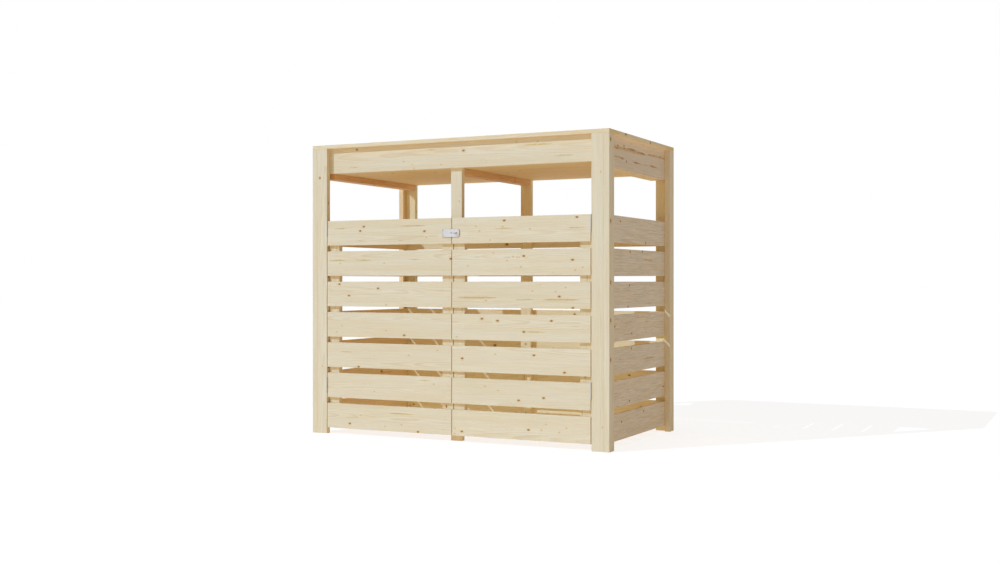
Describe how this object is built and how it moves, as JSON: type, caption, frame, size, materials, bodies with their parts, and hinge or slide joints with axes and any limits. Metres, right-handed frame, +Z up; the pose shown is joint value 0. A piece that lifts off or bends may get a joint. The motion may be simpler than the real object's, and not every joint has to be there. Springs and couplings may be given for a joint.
{
  "type": "wheelie bin store",
  "caption": "Slatted softwood store for wheeled refuse bins, with hinged front doors, a hasp and an open planter tray on top.",
  "frame": {"origin": "middle of the footprint on the ground, the hasp staple included", "axes": "+X along the front to the right as seen from the front, +Y from the front to the back, +Z up"},
  "size_m": [1.554, 0.883, 1.4],
  "materials": {
    "post_timber": "planed, untreated spruce",
    "slat_board": "planed, untreated spruce",
    "door_board": "planed, untreated spruce",
    "door_timber": "planed, untreated spruce",
    "fascia_board": "planed, untreated spruce",
    "cap_board": "planed, untreated spruce",
    "tray_timber": "planed, untreated spruce",
    "zinc_hardware": "bright zinc plated",
    "screw_steel": "zinc plated"
  },
  "bodies": {
    "root": {"front_left_post_side": "post_timber", "front_left_post_face": "post_timber", "front_right_post_side": "post_timber", "front_right_post_face": "post_timber", "front_middle_post": "post_timber", "front_fascia": "fascia_board", "front_cap": "cap_board", "back_left_post_side": "post_timber", "back_left_post_face": "post_timber", "back_right_post_side": "post_timber", "back_right_post_face": "post_timber", "back_middle_post": "post_timber", "back_fascia": "fascia_board", "back_cap": "cap_board", "left_fascia": "fascia_board", "left_cap": "cap_board", "left_side_slats": "slat_board", "left_tray_batten": "tray_timber", "left_hinge_post_leaves": "zinc_hardware", "left_hinge_pins": "zinc_hardware", "right_fascia": "fascia_board", "right_cap": "cap_board", "right_side_slats": "slat_board", "right_tray_batten": "tray_timber", "right_hinge_post_leaves": "zinc_hardware", "right_hinge_pins": "zinc_hardware", "middle_tray_batten": "tray_timber", "back_slats": "slat_board", "tray_floor_boards": "tray_timber", "frame_screws": "screw_steel", "post_hinge_screws": "screw_steel"},
    "left_door": {"left_door_slat_1": "door_board", "left_door_slat_2": "door_board", "left_door_slat_3": "door_board", "left_door_slat_4": "door_board", "left_door_slat_5": "door_board", "left_door_slat_6": "door_board", "left_door_slat_7": "door_board", "left_door_hinge_stile": "door_timber", "left_door_meeting_stile": "door_timber", "left_hinge_door_leaves": "zinc_hardware", "left_door_screws": "screw_steel", "left_door_hardware_screws": "screw_steel", "hasp_plate": "zinc_hardware", "hasp_pin": "zinc_hardware"},
    "right_door": {"right_door_slat_1": "door_board", "right_door_slat_2": "door_board", "right_door_slat_3": "door_board", "right_door_slat_4": "door_board", "right_door_slat_5": "door_board", "right_door_slat_6": "door_board", "right_door_slat_7": "door_board", "right_door_hinge_stile": "door_timber", "right_door_meeting_stile": "door_timber", "right_hinge_door_leaves": "zinc_hardware", "right_door_screws": "screw_steel", "right_door_hardware_screws": "screw_steel", "hasp_staple": "zinc_hardware"},
    "hasp_strap": {"hasp_strap": "zinc_hardware"}
  },
  "joints": [
    {"name": "left_door_hinge", "type": "hinge", "parent": "root", "child": "left_door", "pos_m": [-0.6913, -0.4241, 0.5], "axis": [0, 0, -1], "range_deg": [0, 180]},
    {"name": "right_door_hinge", "type": "hinge", "parent": "root", "child": "right_door", "pos_m": [0.6913, -0.4241, 0.5], "axis": [0, 0, 1], "range_deg": [0, 180]},
    {"name": "hasp_hinge", "type": "hinge", "parent": "left_door", "child": "hasp_strap", "pos_m": [-0.0453, -0.425, 0.961], "axis": [0, 0, -1], "range_deg": [0, 180]}
  ]
}
